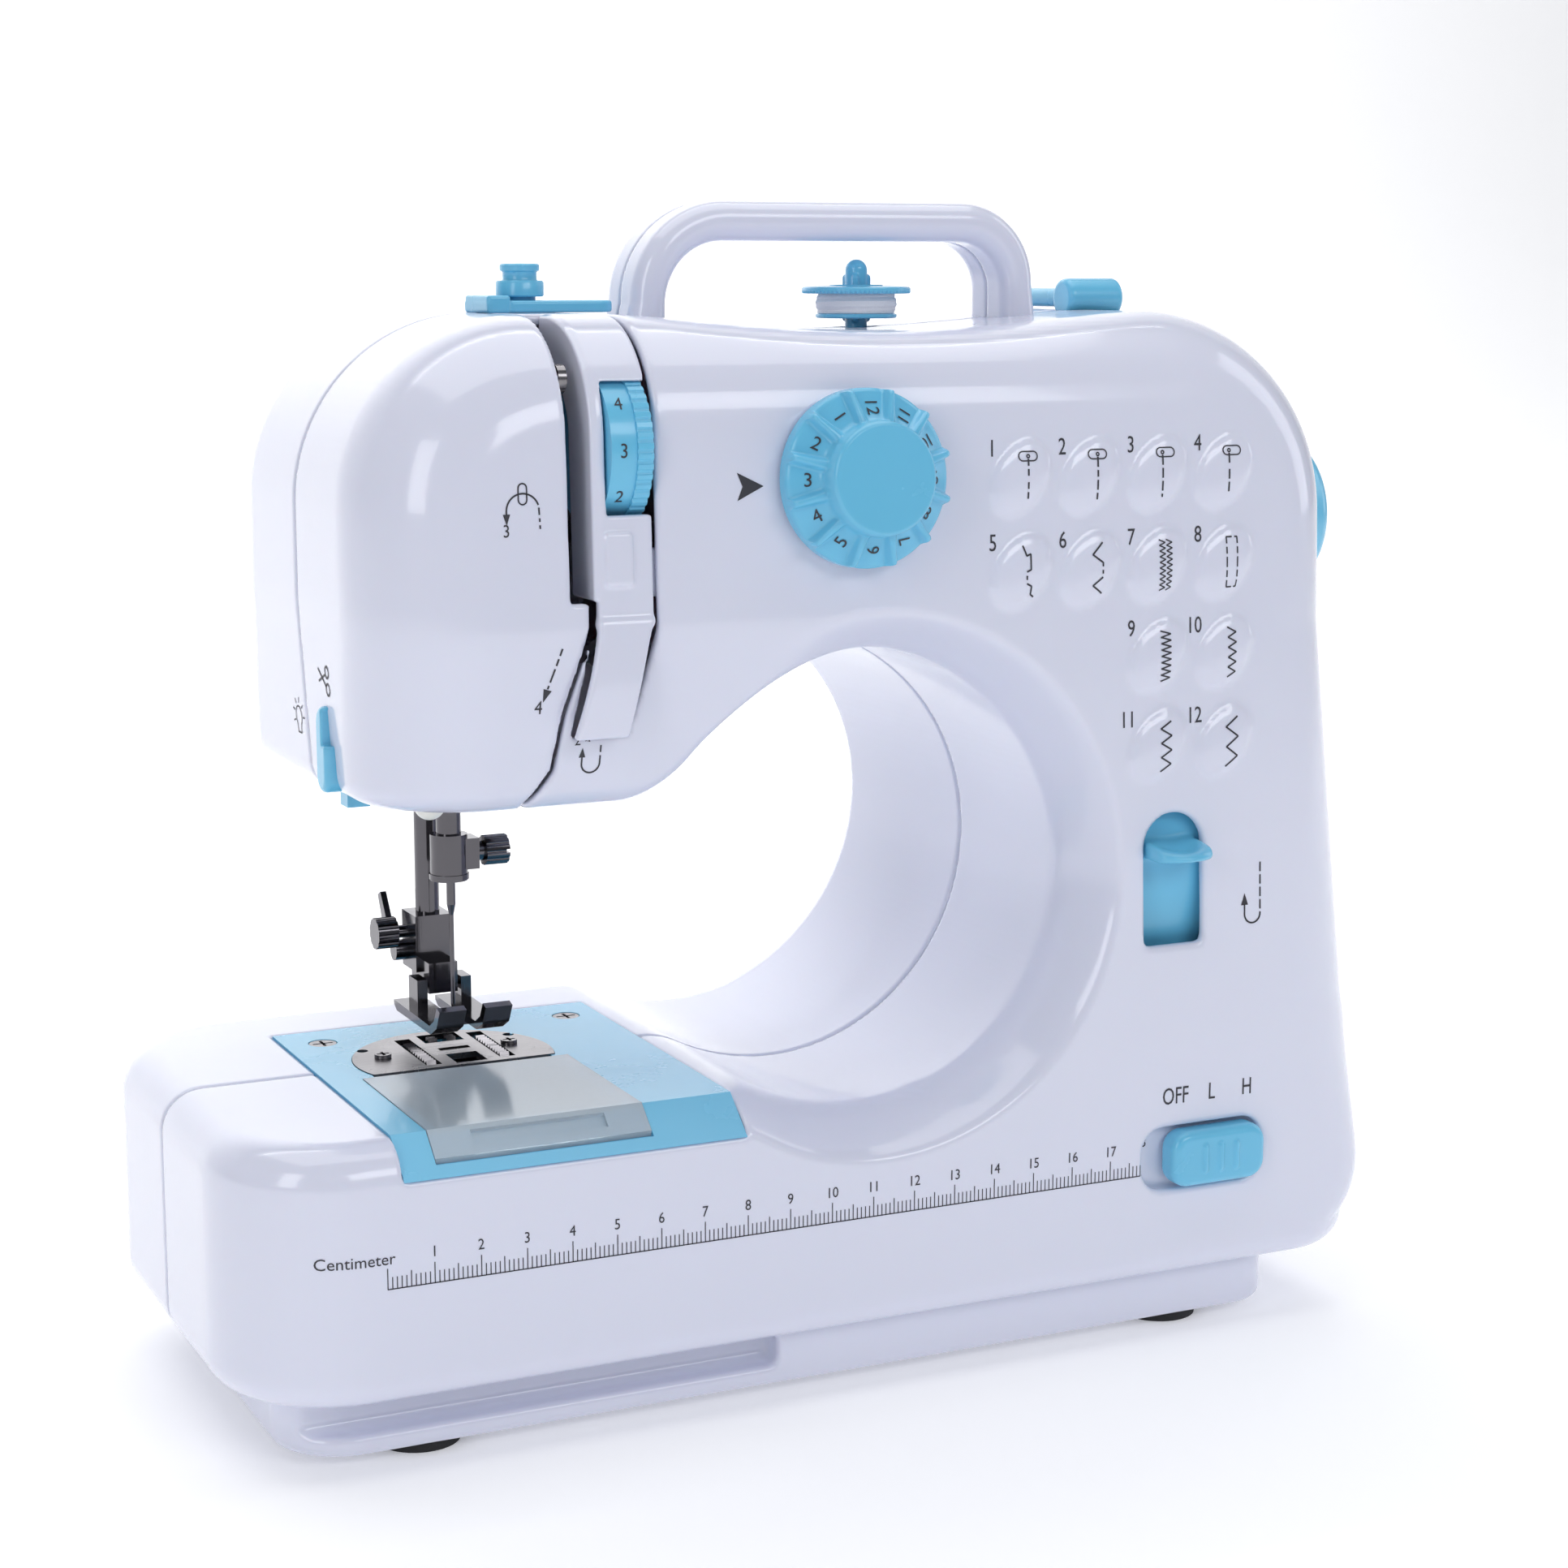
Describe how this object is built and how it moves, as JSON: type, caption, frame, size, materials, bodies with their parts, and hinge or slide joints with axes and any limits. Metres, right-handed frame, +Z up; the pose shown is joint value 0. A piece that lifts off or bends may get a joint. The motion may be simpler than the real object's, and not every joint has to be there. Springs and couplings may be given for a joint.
{
  "type": "portable sewing machine",
  "caption": "Compact portable sewing machine with a round throat, carrying handle, stitch dial, handwheel and drop-in bobbin bed.",
  "frame": {"origin": "centre of the footprint on the table, under the rubber feet", "axes": "+X towards the handwheel, -Y towards the operator, +Z up"},
  "size_m": [0.2872, 0.1314, 0.2591],
  "materials": {
    "casing": "glossy white injection moulding with a faint cool tint",
    "accent": "glossy sky-blue injection moulding",
    "steel": "ground and polished steel",
    "nickel": "bright nickel plating",
    "black_plastic": "black moulded plastic",
    "rubber": "black rubber",
    "brass": "sintered bronze and brass",
    "frame_metal": "die-cast aluminium",
    "nylon": "natural nylon",
    "clear": "clear moulded acrylic",
    "lamp_lens": "diffusing lamp lens",
    "board": "green circuit board",
    "thread": "white sewing thread on a blue bobbin"
  },
  "bodies": {
    "machine": {"front_casing": "casing", "rear_casing": "casing", "face_cover": "casing", "thread_channel_cover": "casing", "base_tray": "casing", "handle_front": "casing", "handle_rear": "casing", "bobbin_area_plate": "accent", "thread_cutter": "accent", "winder_guide": "accent", "casing_screws": "steel", "plate_screws": "steel", "needle_plate": "steel", "presser_spring": "steel", "tension_discs": "steel", "motor": "nickel", "bobbin_case": "black_plastic", "power_jacks": "black_plastic", "rubber_feet": "rubber", "timing_belt": "rubber", "drive_belt": "rubber", "bearing_bushes": "brass", "inner_frame": "frame_metal", "lamp": "lamp_lens", "circuit_board": "board"},
    "main_shaft": {"main_shaft": "steel", "crank_disc": "steel", "handwheel": "accent", "drive_pulley": "black_plastic"},
    "motor_rotor": {"motor_pulley": "brass"},
    "lower_shaft": {"lower_shaft": "steel", "hook_drive_gear": "nylon", "lower_timing_pulley": "black_plastic"},
    "shuttle_hook": {"shuttle_hook": "steel"},
    "bobbin": {"bobbin": "clear"},
    "needle_bar_frame": {"needle_bar_frame": "frame_metal"},
    "needle_bar": {"needle_bar": "nickel", "needle_link": "steel", "needle_clamp": "nickel", "needle": "nickel"},
    "needle_clamp_screw": {"needle_clamp_screw": "nickel"},
    "zigzag_lever": {"zigzag_lever": "steel"},
    "take_up_lever": {"take_up_lever": "steel"},
    "presser_lifter": {"presser_lifter": "black_plastic"},
    "presser_bar": {"presser_bar": "nickel", "foot_holder": "nickel"},
    "foot_holder_screw": {"foot_holder_screw": "nickel"},
    "presser_foot": {"presser_foot": "nickel"},
    "feed_bar": {"feed_bar": "frame_metal"},
    "feed_dog": {"feed_dog": "steel"},
    "stitch_dial": {"stitch_dial": "accent", "pattern_cam": "nylon"},
    "tension_dial": {"tension_dial": "accent"},
    "reverse_lever": {"reverse_lever": "accent"},
    "power_switch": {"power_switch": "accent"},
    "lamp_switch": {"lamp_switch": "accent"},
    "winder": {"winder_spindle": "accent", "winder_bobbin": "thread"},
    "spool_pin": {"spool_pin": "accent"},
    "bobbin_cover": {"bobbin_cover": "clear"}
  },
  "joints": [
    {"name": "handwheel_turn", "type": "hinge", "parent": "machine", "child": "main_shaft", "pos_m": [-0.00643, 0.00472, 0.185], "axis": [1, 0, 0], "continuous": true},
    {"name": "motor_spin", "type": "hinge", "parent": "machine", "child": "motor_rotor", "pos_m": [0.11157, -0.00928, 0.084], "axis": [1, 0, 0], "continuous": true},
    {"name": "lower_shaft_turn", "type": "hinge", "parent": "machine", "child": "lower_shaft", "pos_m": [-0.00643, -0.00748, 0.034], "axis": [1, 0, 0], "continuous": true},
    {"name": "hook_spin", "type": "hinge", "parent": "machine", "child": "shuttle_hook", "pos_m": [-0.07243, -0.00748, 0.05], "axis": [0, 0, 1], "continuous": true},
    {"name": "bobbin_spin", "type": "hinge", "parent": "machine", "child": "bobbin", "pos_m": [-0.07243, -0.00748, 0.058], "axis": [0, 0, 1], "continuous": true},
    {"name": "needle_swing", "type": "hinge", "parent": "machine", "child": "needle_bar_frame", "pos_m": [-0.07483, 0.01672, 0.222], "axis": [0, 1, 0], "range_deg": [-1, 1]},
    {"name": "zigzag_lever_swing", "type": "hinge", "parent": "machine", "child": "zigzag_lever", "pos_m": [-0.03442, 0.02872, 0.182], "axis": [0, 1, 0], "range_deg": [-3, 3]},
    {"name": "needle_travel", "type": "slide", "parent": "needle_bar_frame", "child": "needle_bar", "axis": [0, 0, -1], "range_m": [-0.006, 0.022]},
    {"name": "needle_clamp_screw_turn", "type": "hinge", "parent": "needle_bar", "child": "needle_clamp_screw", "pos_m": [-0.06682, 0.01272, 0.1155], "axis": [1, 0, 0], "range_deg": [0, 720]},
    {"name": "take_up_swing", "type": "hinge", "parent": "machine", "child": "take_up_lever", "pos_m": [-0.06772, 0.01472, 0.198], "axis": [1, 0, 0], "range_deg": [-10, 36]},
    {"name": "presser_lifter_turn", "type": "hinge", "parent": "machine", "child": "presser_lifter", "pos_m": [-0.09043, 0.05472, 0.152], "axis": [0, 1, 0], "range_deg": [0, 62]},
    {"name": "presser_travel", "type": "slide", "parent": "machine", "child": "presser_bar", "axis": [0, 0, -1], "range_m": [0, 0.005]},
    {"name": "foot_holder_screw_turn", "type": "hinge", "parent": "presser_bar", "child": "foot_holder_screw", "pos_m": [-0.08282, 0.02852, 0.095], "axis": [-1, 0, 0], "range_deg": [0, 720]},
    {"name": "presser_foot_tilt", "type": "hinge", "parent": "presser_bar", "child": "presser_foot", "pos_m": [-0.07483, 0.02092, 0.0844], "axis": [1, 0, 0], "range_deg": [-8, 1]},
    {"name": "feed_lift", "type": "slide", "parent": "machine", "child": "feed_bar", "axis": [0, 0, -1], "range_m": [0, 0.0013]},
    {"name": "feed_stroke", "type": "slide", "parent": "feed_bar", "child": "feed_dog", "axis": [0, 1, 0], "range_m": [-0.0015, 0.0015]},
    {"name": "stitch_dial_turn", "type": "hinge", "parent": "machine", "child": "stitch_dial", "pos_m": [-0.00453, -0.05036, 0.201], "axis": [0, -0.999, 0.045], "continuous": true},
    {"name": "tension_dial_turn", "type": "hinge", "parent": "machine", "child": "tension_dial", "pos_m": [-0.05643, -0.03678, 0.208], "axis": [1, 0, 0], "range_deg": [-150, 150]},
    {"name": "reverse_lever_press", "type": "hinge", "parent": "machine", "child": "reverse_lever", "pos_m": [0.07358, 0.01672, 0.11], "axis": [1, 0, 0], "range_deg": [0, 12], "stiffness_Nm_per_rad": 0.35, "springref_deg": -11.46},
    {"name": "power_switch_slide", "type": "slide", "parent": "machine", "child": "power_switch", "axis": [1, 0, 0], "range_m": [-0.005, 0]},
    {"name": "lamp_switch_slide", "type": "slide", "parent": "machine", "child": "lamp_switch", "axis": [0, 1, 0], "range_m": [0, 0.0028]},
    {"name": "winder_spin", "type": "hinge", "parent": "machine", "child": "winder", "pos_m": [0.02258, 0.00472, 0.23], "axis": [0, 0, 1], "continuous": true},
    {"name": "spool_pin_fold", "type": "hinge", "parent": "machine", "child": "spool_pin", "pos_m": [0.08407, 0.00472, 0.2376], "axis": [1, 0, 0], "range_deg": [0, 90]},
    {"name": "bobbin_cover_slide", "type": "slide", "parent": "machine", "child": "bobbin_cover", "axis": [0, -1, 0], "range_m": [0, 0.045]}
  ],
  "couplings": [
    {"joint": "motor_spin", "follows": "handwheel_turn", "ratio": 4},
    {"joint": "lower_shaft_turn", "follows": "handwheel_turn", "ratio": 1},
    {"joint": "hook_spin", "follows": "handwheel_turn", "ratio": -2},
    {"joint": "zigzag_lever_swing", "follows": "needle_swing", "ratio": -2.6},
    {"joint": "take_up_swing", "follows": "needle_travel", "rad_per_m": 26},
    {"joint": "presser_lifter_turn", "follows": "presser_travel", "rad_per_m": 216.42}
  ]
}
